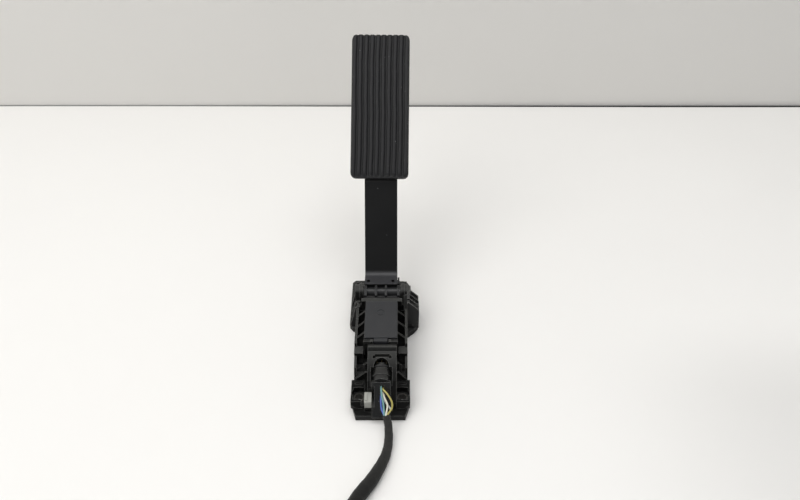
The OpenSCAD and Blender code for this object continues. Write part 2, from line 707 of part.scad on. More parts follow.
// coil along Y with ground ends
module coil(outer_d, wire, turns) {
    steps = 12;
    n = turns * steps;
    y0 = spring_y0 + wire / 2;
    y1 = spring_y1 - wire / 2;
    r = (outer_d - wire) / 2;
    closed = 0.8;
    path = [for (i = [0 : n]) let (s = i / steps,
        f = s < closed ? s * wire * 1.05 / (y1 - y0) : s > turns - closed
            ? 1 - (turns - s) * wire * 1.05 / (y1 - y0)
            : closed * wire * 1.05 / (y1 - y0) + (s - closed) / (turns - 2 * closed)
                * (1 - 2 * closed * wire * 1.05 / (y1 - y0)))
        [r * cos(360 * s), y0 + f * (y1 - y0), spring_z + r * sin(360 * s)]];
    tube(path, [for (p = path) wire / 2], 8);
}

module return_spring_outer() {
    color("#8b8d90") coil(outer_spring_d, outer_wire_d, 6);
}

module return_spring_inner() {
    color("#9b9da0") coil(inner_spring_d, inner_wire_d, 7);
}

module spring_seat() {
    color("#4a4a46") union() {
        rod_y(spring_y1, tail_y, 0, spring_z, 2 * seat_r);
        rod_y(spring_y1 - 5, spring_y1 + eps, 0, spring_z, inner_spring_d - 2 * inner_wire_d - 0.8);
    }
}

module spring_cup() {
    color("#4a4a46") union() {
        rod_y(chamber_y, spring_y0, 0, spring_z, 2 * seat_r);
        rod_y(spring_y0 - eps, spring_y0 + 5, 0, spring_z, inner_spring_d - 2 * inner_wire_d - 0.8);
    }
}

module magnet_carrier() {
    color("#5b5d60") difference() {
        rod_x(carrier_x0, shaft_x1 + magnet_t, pivot_y, pivot_z, 2 * carrier_r);
        rod_x(carrier_x0 - 1, shaft_x1, pivot_y, pivot_z, shaft_d);
        rod_x(shaft_x1 - eps, shaft_x1 + magnet_t + 1, pivot_y, pivot_z, 5);
    }
}

module sensor_magnet() {
    color("#6f7276") rod_x(shaft_x1, shaft_x1 + magnet_t, pivot_y, pivot_z, 5);
}

module sensor_board() {
    color("#1f5a3a") union() {
        span(board_x, board_x + board_t, 19, 24.5, 9.5, 27.5);
        span(board_x, board_x + board_t, 24, 29, 9.5, 20.5);
        // angle sensing chip and two small parts
        span(board_x - 1.2, board_x + eps, 19.6, 23.8, 21.5, 26.5);
        span(board_x - 0.8, board_x + eps, 20, 22.5, 14, 16);
        span(board_x - 0.8, board_x + eps, 25, 27.5, 14, 16);
    }
}

module lead_frame() {
    color("#b8943c") union() {
        for (p = lead_pins) rod_y(shroud_back - 12, shroud_back + 0.6, plug_x + p[0], plug_z + p[1], 1.2);
        // carrier strip behind the socket
        span(plug_x - 5, plug_x + 5, shroud_back, shroud_back + 1.2, plug_z - 3.6, plug_z + 3.6);
    }
}

module bolt_sleeves() {
    color("#a6a8ab") difference() {
        union() {
            for (sx = [-1, 1]) {
                translate([sx * hole_x, -hole_y, 0]) cylinder(h = flange_t + 1, d = sleeve_d);
                translate([sx * hole_x, hole_y, 0]) cylinder(h = flange_t + 1.6, d = sleeve_d);
            }
        }
        four_holes(bolt_bore_d, -1, foot_h);
    }
}

module idle_bumper() {
    color("#262626") span(-8, 8, tail_back + 0.1, tail_back + 3.6, 9, 18);
}

module travel_bumper() {
    color("#262626") span(-8, 8, tail_back + 7.9, tail_back + 15.9, post_h, post_h + bumper_t);
}

module plug_body() {
    color("#2a2b2d") difference() {
        union() {
            // round nose inside the socket
            rod_y(block_y, plug_tip, plug_x, plug_z, plug_d - 1.4);
            // cuff seen below the domed window
            rod_y(cuff_y0, cuff_y1, plug_x, plug_z, plug_d);
            across(plug_x - block_w / 2, plug_x + block_w / 2) polygon([[block_y, 31], [block_y - 2, 31.5],
                [plug_end + 1, 9], [plug_end, 7.5], [plug_end, floor_t + 3.6], [block_y, floor_t + 3.6]]);
        }
        // open back for the wires
        across(slot_x - slot_w / 2, slot_x + slot_w / 2) polygon([[-64.5, 40], [-64.5, 14], [plug_end - 1, 12],
            [plug_end - 1, 40]]);
        // terminal cavities
        for (p = lead_pins) rod_y(-64, plug_tip + 1, plug_x + p[0], plug_z + p[1], 1.7);
        // step beside the wire lock
        span(plug_x - block_w / 2 - 1, plug_x - block_w / 2 + 2, lock_y0 - 3, lock_y1 + 0.5, tongue_z1 + 0.4, rim_z);
        // guide slot of the wire lock
        span(lock_x1 - 1, lock_x1 + tongue_l + 0.3, tongue_y0 - 0.15, tongue_y1 + 0.15, tongue_z0 - 0.15,
            tongue_z1 + 0.15);
        // groove of the seal
        difference() {
            rod_y(seal_y - 1, seal_y + 1, plug_x, plug_z, plug_d + 2);
            rod_y(seal_y - 2, seal_y + 2, plug_x, plug_z, plug_d - 4);
        }
    }
}

module plug_seal() {
    color("#2c2c2b") difference() {
        rod_y(seal_y - 0.9, seal_y + 0.9, plug_x, plug_z, plug_d + 0.2);
        rod_y(seal_y - 2, seal_y + 2, plug_x, plug_z, plug_d - 4);
    }
}

module wire_lock() {
    color("#c9c9c0") union() {
        span(lock_x1 - lock_w, lock_x1, lock_y0, lock_y1, lock_z0, lock_z1);
        span(lock_x1 - lock_w + 1, lock_x1 - lock_w + 2.4, lock_y0 + 1.6, lock_y1 - 1.6, lock_z1 - eps, lock_z1 + 0.8);
        // tongue that enters the plug
        span(lock_x1 - eps, lock_x1 + tongue_l, tongue_y0, tongue_y1, tongue_z0, tongue_z1);
    }
}

// point on the end face of the taped sleeve, and the wire run that meets it squarely
sleeve_dir = unit(sleeve_path[1] - sleeve_path[0]);
function into_sleeve(turn) = let (a = side_of(sleeve_dir), b = cross(sleeve_dir, a),
    p = sleeve_start + 1.85 * (cos(turn) * a + sin(turn) * b)) [p - 2.4 * sleeve_dir, p];

module wire(points, turn) {
    path = concat(points, into_sleeve(turn));
    tube(path, [for (p = path) wire_d / 2], wire_sides);
}

module wire_teal() {
    color("#7fc4c0") wire([[0.9, -64.5, 27.4], [0.9, -65.9, 27.4], [1.1, -69, 28.8], [1.6, -73, 26.6],
        [2.8, -77.4, 22.6]], teal_turn);
}

module wire_yellow() {
    color("#d9cf5a") wire([[2.3, -64.5, 25.6], [2.3, -65.9, 25.6], [2.8, -68.4, 28.8], [6.4, -72.8, 28.8],
        [9.8, -77.4, 25], [9.8, -80.8, 20.8]], yellow_turn);
}

module wire_white() {
    color("#e6e3d8") wire([[1.2, -64.5, 22.6], [1.2, -65.9, 22.6], [2.4, -69.6, 25.6], [3.9, -74, 25.2],
        [6.2, -78.6, 22]], white_turn);
}

module wire_blue() {
    color("#4a63b8") wire([[0.8, -64.5, 19.4], [0.8, -65.9, 19.4], [0.8, -70, 21.8], [0.8, -75, 20.6],
        [1.3, -79.2, 17.8]], blue_turn);
}

module wire_grey() {
    color("#b9bcbc") wire([[2.3, -64.5, 16.6], [2.3, -65.9, 16.6], [2.4, -71.4, 21.2], [5.2, -76, 20.6],
        [8.8, -80.6, 18.6]], grey_turn);
}

module harness_sleeve() {
    color("#2f2e2d") tube(sleeve_path, sleeve_radii, 12);
}

housing();
front_cover();
sensor_cover();
sensor_screws();
pivot_shaft();
bush(-1);  // left_bush
bush(1);  // right_bush
pedal_hub();
pedal_arm();
arm_rivets();
pad_plate();
pad_rivets();
rubber_pad();
return_spring_outer();
return_spring_inner();
spring_seat();
spring_cup();
magnet_carrier();
sensor_magnet();
sensor_board();
lead_frame();
bolt_sleeves();
idle_bumper();
travel_bumper();
plug_body();
plug_seal();
wire_lock();
wire_teal();
wire_yellow();
wire_white();
wire_blue();
wire_grey();
harness_sleeve();
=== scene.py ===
"""Accelerator pedal module lying on a white table, seen from the front and above."""
import math

import bpy
from mathutils import Matrix, Vector, noise


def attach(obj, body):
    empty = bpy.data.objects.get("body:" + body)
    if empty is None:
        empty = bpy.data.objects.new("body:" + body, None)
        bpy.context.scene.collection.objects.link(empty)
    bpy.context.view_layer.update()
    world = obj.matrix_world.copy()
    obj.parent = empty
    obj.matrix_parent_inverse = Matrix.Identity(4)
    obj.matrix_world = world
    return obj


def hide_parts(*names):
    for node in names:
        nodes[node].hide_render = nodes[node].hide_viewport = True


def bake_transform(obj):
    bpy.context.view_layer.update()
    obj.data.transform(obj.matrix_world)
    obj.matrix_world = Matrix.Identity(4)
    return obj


MM = 0.001
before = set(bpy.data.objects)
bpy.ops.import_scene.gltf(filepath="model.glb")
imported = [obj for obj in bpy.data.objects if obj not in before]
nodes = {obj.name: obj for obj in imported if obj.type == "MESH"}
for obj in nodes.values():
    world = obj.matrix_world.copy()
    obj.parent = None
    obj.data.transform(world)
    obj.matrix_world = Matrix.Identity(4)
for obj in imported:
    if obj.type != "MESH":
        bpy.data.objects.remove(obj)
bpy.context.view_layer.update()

# Camera
CAMERA_AT = (0.0165, -0.336, 0.459)
CAMERA_PITCH = 45.0
camera_data = bpy.data.cameras.new("camera")
camera = bpy.data.objects.new("camera", camera_data)
bpy.context.scene.collection.objects.link(camera)
camera.location = CAMERA_AT
camera.rotation_euler = (math.radians(90.0 - CAMERA_PITCH), 0.0, 0.0)
camera_data.sensor_width = 36.0
camera_data.lens = 27.0
bpy.context.scene.camera = camera
bpy.context.scene.render.resolution_x = 800
bpy.context.scene.render.resolution_y = 500
bpy.context.scene.view_settings.view_transform = "Standard"


def mesh_object(name, verts, faces, smooth=True):
    """A mesh object from vertices in metres, in the frame of the part."""
    mesh = bpy.data.meshes.new(name)
    mesh.from_pydata(verts, [], faces)
    mesh.validate()
    mesh.update()
    for polygon in mesh.polygons:
        polygon.use_smooth = smooth
    piece = bpy.data.objects.new(name, mesh)
    bpy.context.scene.collection.objects.link(piece)
    return piece


def smooth_path(points, per_span):
    """Catmull-Rom points through the given ones."""
    points = [Vector(p) for p in points]
    padded = [2 * points[0] - points[1]] + points + [2 * points[-1] - points[-2]]
    out = []
    for i in range(1, len(padded) - 2):
        a, b, c, d = padded[i - 1 : i + 3]
        for k in range(per_span):
            t = k / per_span
            bend = (2 * a - 5 * b + 4 * c - d) * t * t
            out.append(0.5 * (2 * b + (c - a) * t + bend + (3 * b - a - 3 * c + d) * t**3))
    out.append(points[-1])
    return out


def smooth_values(values, per_span):
    """Linear steps between the values, as many as smooth_path gives."""
    out = []
    for a, b in zip(values, values[1:]):
        out += [a + (b - a) * k / per_span for k in range(per_span)]
    return out + [values[-1]]


def tube(name, path, radius_at, sides):
    """A closed tube along path. radius_at(i, angle) is its radius in metres."""
    verts, faces = [], []
    side = None
    for i, p in enumerate(path):
        ahead = path[min(i + 1, len(path) - 1)] - path[max(i - 1, 0)]
        ahead.normalize()
        if side is None:
            side = ahead.cross(Vector((0, 0, 1))).normalized()
        side = (side - ahead * side.dot(ahead)).normalized()
        up = side.cross(ahead)
        for k in range(sides):
            angle = 2 * math.pi * k / sides
            r = radius_at(i, angle)
            verts.append(p + side * (r * math.cos(angle)) + up * (r * math.sin(angle)))
    for i in range(len(path) - 1):
        for k in range(sides):
            n = (k + 1) % sides
            faces.append((i * sides + k, i * sides + n, (i + 1) * sides + n, (i + 1) * sides + k))
    for ring in (0, len(path) - 1):
        verts.append(path[ring].copy())
        middle = len(verts) - 1
        for k in range(sides):
            a, b = ring * sides + k, ring * sides + (k + 1) % sides
            faces.append((middle, b, a) if ring == 0 else (middle, a, b))
    return mesh_object(name, verts, faces)


# Taped harness and wires, in millimetres in the frame of the part
SLEEVE_START = (5.6, -85.5, 15.0)
SLEEVE_POINTS = [
    SLEEVE_START, (6.6, -88.5, 11.6), (7.2, -93, 8), (7.3, -99, 5), (6.6, -106, 4), (5, -113, 4.2),
    (2.2, -120, 4.6), (-1.4, -127, 5.1), (-5.4, -134, 5.5), (-9.8, -140, 5.8), (-14.2, -146, 5.9),
    (-17.4, -151, 5.9), (-19.8, -155.5, 5.9),
]
SLEEVE_RADII = [3.2, 3.4, 3.5, 3.6, 3.8, 4.1, 4.5, 5, 5.4, 5.7, 5.8, 5.8, 5.8]
TAPE_PITCH = 8.5
TAPE_STEP = 0.2
TAPE_STEP_SHARE = 0.08
TAPE_LUMP = 0.12
TAPE_LUMP_SCALE = 0.16
TAPE_FIT = 0.965
TAPE_SINK = 0.05
PER_SPAN = 10
sleeve_path = [p * MM for p in smooth_path(SLEEVE_POINTS, PER_SPAN)]
sleeve_radius = smooth_values(SLEEVE_RADII, PER_SPAN)
sleeve_run = [0.0]
for a, b in zip(sleeve_path, sleeve_path[1:]):
    sleeve_run.append(sleeve_run[-1] + (b - a).length)


def tape_radius(i, angle):
    """Overlapping turns of cloth tape, with a soft step at each edge."""
    turn = (sleeve_run[i] / MM / TAPE_PITCH - angle / (2 * math.pi)) % 1.0
    rise = turn / TAPE_STEP_SHARE
    step = TAPE_STEP * (1.0 - turn) if rise > 1.0 else TAPE_STEP * rise
    place = Vector((sleeve_run[i] / MM * TAPE_LUMP_SCALE, math.cos(angle), math.sin(angle)))
    lump = TAPE_LUMP * noise.noise(place)
    return (sleeve_radius[i] * TAPE_FIT + step + lump - TAPE_SINK) * MM


sleeve = tube("taped_sleeve", sleeve_path, tape_radius, 32)
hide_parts("harness_sleeve")
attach(sleeve, "base")

SLEEVE_DIR = (Vector(SLEEVE_POINTS[1]) - Vector(SLEEVE_POINTS[0])).normalized()
SLEEVE_SIDE = SLEEVE_DIR.cross(Vector((1, 0, 0))).normalized()
SLEEVE_UP = SLEEVE_DIR.cross(SLEEVE_SIDE)
# For each wire its turn about the sleeve in degrees, and its points from the plug on
WIRES = {
    "wire_teal": (50, [(0.9, -64.5, 27.4), (0.9, -65.9, 27.4), (1.1, -69, 28.8), (1.6, -73, 26.6),
                       (2.8, -77.4, 22.6)]),
    "wire_yellow": (310, [(2.3, -64.5, 25.6), (2.3, -65.9, 25.6), (2.8, -68.4, 28.8), (6.4, -72.8, 28.8),
                          (9.8, -77.4, 25), (9.8, -80.8, 20.8)]),
    "wire_white": (0, [(1.2, -64.5, 22.6), (1.2, -65.9, 22.6), (2.4, -69.6, 25.6), (3.9, -74, 25.2),
                       (6.2, -78.6, 22)]),
    "wire_blue": (100, [(0.8, -64.5, 19.4), (0.8, -65.9, 19.4), (0.8, -70, 21.8), (0.8, -75, 20.6),
                        (1.3, -79.2, 17.8)]),
    "wire_grey": (258, [(2.3, -64.5, 16.6), (2.3, -65.9, 16.6), (2.4, -71.4, 21.2), (5.2, -76, 20.6),
                        (8.8, -80.6, 18.6)]),
}
WIRE_R = 0.74
WIRE_SIDES = 14
GATHER_R = 1.85
GATHER_LEAD = 2.4
wire_pieces = {}
for wire_name, (turn, points) in WIRES.items():
    angle = math.radians(turn)
    end = Vector(SLEEVE_START) + GATHER_R * (math.cos(angle) * SLEEVE_SIDE + math.sin(angle) * SLEEVE_UP)
    points = points + [end - GATHER_LEAD * SLEEVE_DIR, end]
    path = [p * MM for p in smooth_path(points, 8)]
    piece = tube(wire_name + "_strand", path, lambda i, angle: WIRE_R * MM, WIRE_SIDES)
    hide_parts(wire_name)
    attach(piece, "base")
    wire_pieces[wire_name] = piece

# Last wrap of tape, drawn in around the gathered wires: distances along the sleeve, and radii
TOP_WRAP = [(-2.3, 2.55), (-1.9, 2.75), (-1.0, 2.95), (0.2, 3.1)]
top_path = [(Vector(SLEEVE_START) + along * SLEEVE_DIR) * MM for along, _ in TOP_WRAP]
tape_top = tube("tape_top", top_path, lambda i, angle: TOP_WRAP[i][1] * MM, 24)
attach(tape_top, "base")

# Short copper ends that show in the cut face of the sleeve
COPPER_R = 0.8
COPPER_IN = 1.5
COPPER_OUT = 0.35
# The turn of each end about the sleeve, as a share of a full one, and its distance from the middle
COPPER_ENDS = [(0.1, 2.4), (0.3, 2.5), (0.52, 2.3), (0.7, 2.5), (0.9, 2.4)]
end_along = (sleeve_path[-1] - sleeve_path[-3]).normalized()
end_side = end_along.cross(Vector((0, 0, 1))).normalized()
end_up = end_side.cross(end_along)
wire_ends = []
for turn, spread in COPPER_ENDS:
    angle = 2 * math.pi * turn
    start = sleeve_path[-1] + (end_side * math.cos(angle) + end_up * math.sin(angle)) * spread * MM
    path = [start - end_along * COPPER_IN * MM, start, start + end_along * COPPER_OUT * MM]
    wire_ends.append(tube("cut_end_%d" % len(wire_ends), path, lambda i, angle: COPPER_R * MM, 12))
bpy.ops.object.select_all(action="DESELECT")
for piece in wire_ends:
    piece.select_set(True)
bpy.context.view_layer.objects.active = wire_ends[0]
bpy.ops.object.join()
cut_wires = wire_ends[0]
cut_wires.name = "cut_wires"
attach(cut_wires, "base")


# Materials
def new_material(name):
    material = bpy.data.materials.new(name)
    material.use_nodes = True
    tree = material.node_tree
    shader = tree.nodes["Principled BSDF"]
    return material, tree, shader


def add(tree, kind, **values):
    """A node with its sockets set by name."""
    node = tree.nodes.new(kind)
    for key, value in values.items():
        node.inputs[key.replace("_", " ")].default_value = value
    return node


def parts_of(tree, vector):
    """The X, Y and Z sockets of a vector."""
    node = tree.nodes.new("ShaderNodeSeparateXYZ")
    tree.links.new(vector, node.inputs["Vector"])
    return node.outputs


def tone_between(tree, factor, dark, light):
    """A colour that goes from dark to light as factor goes from 0 to 1."""
    mix = tree.nodes.new("ShaderNodeMix")
    mix.data_type = "RGBA"
    mix.inputs["A"].default_value = (*dark, 1.0)
    mix.inputs["B"].default_value = (*light, 1.0)
    tree.links.new(factor, mix.inputs["Factor"])
    return mix.outputs["Result"]


def surface(name, dark, light, rough, grain=900.0, bump=0.12, metallic=0.0, specular=0.5, wear=0.0,
            wear_color=(0.3, 0.3, 0.3)):
    """Two tones in soft blotches, a fine grain in the bump and roughness, and a few light specks."""
    material, tree, shader = new_material(name)
    links = tree.links
    where = tree.nodes.new("ShaderNodeTexCoord")
    broad = add(tree, "ShaderNodeTexNoise", Scale=18.0, Detail=6.0, Roughness=0.6)
    fine = add(tree, "ShaderNodeTexNoise", Scale=grain, Detail=3.0, Roughness=0.6)
    links.new(where.outputs["Object"], broad.inputs["Vector"])
    links.new(where.outputs["Object"], fine.inputs["Vector"])
    links.new(tone_between(tree, broad.outputs["Fac"], dark, light), shader.inputs["Base Color"])
    if wear > 0.0:
        specks = add(tree, "ShaderNodeTexNoise", Scale=420.0, Detail=2.0, Roughness=0.5)
        links.new(where.outputs["Object"], specks.inputs["Vector"])
        ramp = add(tree, "ShaderNodeMapRange", From_Min=0.76 - 0.06 * wear, From_Max=0.8, To_Max=0.5)
        links.new(specks.outputs["Fac"], ramp.inputs["Value"])
        cover_color(material, ramp.outputs["Result"], wear_color)
    roughness = add(tree, "ShaderNodeMapRange", To_Min=rough - 0.08, To_Max=min(1.0, rough + 0.1))
    links.new(broad.outputs["Fac"], roughness.inputs["Value"])
    links.new(roughness.outputs["Result"], shader.inputs["Roughness"])
    relief = add(tree, "ShaderNodeBump", Strength=bump, Distance=0.0002)
    links.new(fine.outputs["Fac"], relief.inputs["Height"])
    links.new(relief.outputs["Normal"], shader.inputs["Normal"])
    shader.inputs["Metallic"].default_value = metallic
    shader.inputs["Specular IOR Level"].default_value = specular
    return material


def mask_node(tree, value, low, high, amount=1.0):
    """Rises smoothly from 0 to amount as value goes from low to high."""
    node = add(tree, "ShaderNodeMapRange", From_Min=low, From_Max=high, To_Max=amount)
    node.interpolation_type = "SMOOTHSTEP"
    tree.links.new(value, node.inputs["Value"])
    return node.outputs["Result"]


def combine(tree, operation, a, b):
    node = tree.nodes.new("ShaderNodeMath")
    node.operation = operation
    tree.links.new(a, node.inputs[0])
    tree.links.new(b, node.inputs[1])
    return node.outputs[0]


def cover_color(material, mask, tone):
    """Lays tone over the material's base colour where mask is above 0."""
    tree = material.node_tree
    base = tree.nodes["Principled BSDF"].inputs["Base Color"]
    mix = tree.nodes.new("ShaderNodeMix")
    mix.data_type = "RGBA"
    mix.inputs["B"].default_value = (*tone, 1.0)
    tree.links.new(mask, mix.inputs["Factor"])
    tree.links.new(base.links[0].from_socket, mix.inputs["A"])
    tree.links.new(mix.outputs["Result"], base)


# Painted light: reaches and ranges of the masks that paint faces looking up and recesses lighter, and paint
# highlights on edges
HOLLOW_REACH = 0.009
EDGE_REACH = 0.0007
# Ranges of the occlusion and of the bent normal, from none of the cover to all of it
RECESS_RANGE = (0.5, 0.15)
GROOVE_RANGE = (0.75, 0.25)
OPEN_RANGE = (0.45, 0.75)
EDGE_RANGE = (0.985, 0.85)
EDGE_AMOUNT = 0.9
FULL_TOP_LIGHT = 0.96


def add_painted_light(material, top=None, recess=None, edge=None, top_from=0.7, y_range=None, deep=RECESS_RANGE):
    """Painted light: a lighter colour on faces that look up and in recesses, and a painted highlight on open
    edges. Each is a colour.
    """
    tree = material.node_tree
    where = tree.nodes.new("ShaderNodeTexCoord")
    hollow = add(tree, "ShaderNodeAmbientOcclusion", Distance=HOLLOW_REACH)
    hollow.samples = 6
    # painted light in recesses, lighter where the occlusion is deep
    if recess:
        cover_color(material, mask_node(tree, hollow.outputs["AO"], *deep), recess)
    # painted light on faces that look up, over a range of Y if one is given
    if top:
        mask = mask_node(tree, parts_of(tree, where.outputs["Normal"])["Z"], top_from, FULL_TOP_LIGHT)
        if y_range:
            near = mask_node(tree, parts_of(tree, where.outputs["Object"])["Y"], *y_range)
            mask = combine(tree, "MULTIPLY", mask, near)
        cover_color(material, mask, top)
    # painted highlight on open convex edges
    if edge:
        rounded = add(tree, "ShaderNodeBevel", Radius=EDGE_REACH)
        rounded.samples = 4
        flat = tree.nodes.new("ShaderNodeNewGeometry")
        alike = tree.nodes.new("ShaderNodeVectorMath")
        alike.operation = "DOT_PRODUCT"
        tree.links.new(rounded.outputs["Normal"], alike.inputs[0])
        tree.links.new(flat.outputs["Normal"], alike.inputs[1])
        mask = mask_node(tree, alike.outputs["Value"], *EDGE_RANGE, EDGE_AMOUNT)
        open_side = mask_node(tree, hollow.outputs["AO"], *OPEN_RANGE)
        cover_color(material, combine(tree, "MULTIPLY", mask, open_side), edge)


plastic = surface("housing_plastic", (0.0025, 0.0025, 0.0023), (0.006, 0.0059, 0.0055), 0.42,
                  bump=0.25, specular=0.1, wear=0.6, wear_color=(0.09, 0.085, 0.075))
# Painted light: lighter colour on the housing's faces that look up, except towards its front end, and in its
# recesses, and a painted highlight on its edges
add_painted_light(plastic, top=(0.046, 0.046, 0.044), recess=(0.06, 0.06, 0.057), edge=(0.15, 0.15, 0.143),
    y_range=(-0.056, -0.036))
cover_plastic = surface("cover_plastic", (0.014, 0.0145, 0.0165), (0.02, 0.021, 0.024), 0.46,
                        bump=0.3, wear=0.4)
sensor_plastic = surface("sensor_plastic", (0.006, 0.006, 0.0065), (0.011, 0.011, 0.011), 0.42,
                         bump=0.2, specular=0.25, wear=0.4)
# Painted light: lighter colour on the sensor cover's upward and sloping faces and in its recesses, and a
# painted highlight on its edges
add_painted_light(sensor_plastic, top=(0.042, 0.042, 0.04), recess=(0.08, 0.08, 0.076), edge=(0.15, 0.15, 0.145),
    top_from=0.35)
hub_plastic = surface("hub_plastic", (0.011, 0.011, 0.0115), (0.018, 0.018, 0.019), 0.32,
                      bump=0.15, specular=0.4)
# Painted highlight on the hub's edges
add_painted_light(hub_plastic, edge=(0.07, 0.07, 0.07))
plug_plastic = surface("plug_plastic", (0.005, 0.005, 0.005), (0.011, 0.011, 0.0105), 0.2,
                       bump=0.1, specular=0.6, wear=0.5)
# Painted highlight on the plug's edges
add_painted_light(plug_plastic, edge=(0.16, 0.16, 0.155))
backing_plastic = surface("backing_plastic", (0.006, 0.006, 0.0065), (0.012, 0.0125, 0.0135), 0.5,
                          bump=0.2, specular=0.2)
arm_paint = surface("arm_paint", (0.002, 0.002, 0.0021), (0.0035, 0.0035, 0.0036), 0.34,
                    grain=500.0, bump=0.15, specular=0.34, wear=0.2)
# Painted light: lighter colour on the arm's faces that look up, and a painted highlight on its edges
add_painted_light(arm_paint, top=(0.029, 0.029, 0.032), edge=(0.05, 0.05, 0.05), top_from=0.72)
rivet_black = surface("rivet_black", (0.002, 0.002, 0.002), (0.004, 0.004, 0.004), 0.4,
                      bump=0.1, specular=0.3)
rubber = surface("pad_rubber", (0.012, 0.012, 0.0128), (0.019, 0.019, 0.020), 0.55,
                 grain=700.0, bump=0.35, specular=0.3, wear=0.5)
# Painted light: lighter colour deep in the pad's grooves
add_painted_light(rubber, recess=(0.032, 0.032, 0.032), deep=GROOVE_RANGE)
seal_rubber = surface("seal_rubber", (0.01, 0.01, 0.01), (0.02, 0.02, 0.02), 0.5, bump=0.1)
stop_rubber = surface("stop_rubber", (0.02, 0.02, 0.02), (0.035, 0.035, 0.035), 0.7, bump=0.3)
spring_steel = surface("spring_steel", (0.22, 0.22, 0.23), (0.4, 0.4, 0.41), 0.32,
                       grain=1500.0, bump=0.1, metallic=1.0)
bright_steel = surface("bright_steel", (0.34, 0.34, 0.35), (0.55, 0.55, 0.56), 0.3,
                       grain=1200.0, metallic=1.0)
sleeve_steel = surface("sleeve_steel", (0.05, 0.048, 0.044), (0.11, 0.105, 0.095), 0.5,
                       grain=1200.0, bump=0.15, metallic=1.0)
bush_plastic = surface("bush_plastic", (0.014, 0.014, 0.013), (0.024, 0.023, 0.021), 0.4,
                       bump=0.1, specular=0.3)
seat_plastic = surface("seat_plastic", (0.05, 0.05, 0.048), (0.09, 0.09, 0.085), 0.6, bump=0.3)
magnet_metal = surface("magnet_metal", (0.2, 0.2, 0.21), (0.3, 0.3, 0.31), 0.4, bump=0.1, metallic=1.0)
board_green = surface("board_green", (0.01, 0.08, 0.04), (0.02, 0.13, 0.06), 0.3, bump=0.1)
brass = surface("terminal_brass", (0.12, 0.1, 0.06), (0.2, 0.17, 0.1), 0.4, bump=0.1, metallic=1.0)
lock_plastic = surface("lock_plastic", (0.3, 0.3, 0.27), (0.4, 0.4, 0.365), 0.5,
                       bump=0.1, wear=0.4, wear_color=(0.15, 0.13, 0.1))
wire_colors = {
    "wire_teal": ((0.14, 0.3, 0.3), (0.22, 0.42, 0.4)),
    "wire_yellow": ((0.36, 0.31, 0.06), (0.5, 0.44, 0.14)),
    "wire_white": ((0.66, 0.63, 0.5), (0.82, 0.8, 0.7)),
    "wire_blue": ((0.06, 0.11, 0.45), (0.12, 0.2, 0.65)),
    "wire_grey": ((0.45, 0.46, 0.46), (0.6, 0.62, 0.62)),
}


def tape_material():
    """Black cloth tape: a fine weave in the bump, soft fuzz and a dusty light tone."""
    material, tree, shader = new_material("cloth_tape")
    links = tree.links
    where = tree.nodes.new("ShaderNodeTexCoord")
    weave_a = add(tree, "ShaderNodeTexWave", Scale=420.0, Distortion=1.5, Detail=2.0)
    weave_b = add(tree, "ShaderNodeTexWave", Scale=420.0, Distortion=1.5, Detail=2.0)
    weave_b.bands_direction = "Y"
    fuzz = add(tree, "ShaderNodeTexNoise", Scale=260.0, Detail=8.0, Roughness=0.7)
    for node in (weave_a, weave_b, fuzz):
        links.new(where.outputs["Object"], node.inputs["Vector"])
    weave = combine(tree, "MULTIPLY", weave_a.outputs["Fac"], weave_b.outputs["Fac"])
    height = combine(tree, "ADD", weave, fuzz.outputs["Fac"])
    tone = tone_between(tree, fuzz.outputs["Fac"], (0.010, 0.010, 0.0095), (0.046, 0.045, 0.042))
    links.new(tone, shader.inputs["Base Color"])
    relief = add(tree, "ShaderNodeBump", Strength=0.5, Distance=0.0003)
    links.new(height, relief.inputs["Height"])
    links.new(relief.outputs["Normal"], shader.inputs["Normal"])
    shader.inputs["Roughness"].default_value = 0.85
    shader.inputs["Sheen Weight"].default_value = 0.12
    shader.inputs["Specular IOR Level"].default_value = 0.2
    # darker towards the cut end
    far = mask_node(tree, parts_of(tree, where.outputs["Object"])["Y"], -0.09, -0.155, 0.75)
    cover_color(material, far, (0.008, 0.008, 0.0078))
    return material


def paint(piece, material):
    piece.data.materials.clear()
    piece.data.materials.append(material)


def soften(piece, width):
    """Rounds the sharp edges of a CAD node."""
    bevel = piece.modifiers.new("soft_edges", "BEVEL")
    bevel.width = width * MM
    bevel.segments = 2
    bevel.limit_method = "ANGLE"
    bevel.angle_limit = math.radians(35.0)
    bevel.use_clamp_overlap = True
    bevel.harden_normals = True


# Rubber pad with rounded ribs, in millimetres and degrees as in the part
ARM_ANGLE = 51.0
ARM_TOP = 47.0
ARM_LEN = 81.0
BEND_Y = 41.0
BEND_R = 8.0
PAD_TURN = 8.0
PAD_LEAN = 0.6
PAD_W = 52.8
PAD_LEN = 131.0
PAD_X = -2.3
PAD_START = 3.0
BACKING_T = 3.0
RUBBER_T = 6.5
GROOVE_D = 2.0
CORNER_R = 4.5
POCKET_EDGE = 1.6
POCKET_GAP = 0.02
RIBS = 10
RIB_COLUMNS = 12
RIB_FLAT = 0.34
RIB_SLOPE = 0.42
RIB_ROUND = 0.8
RIB_START = 1.4
RIB_RISE = 2.4
END_FALL = 0.25
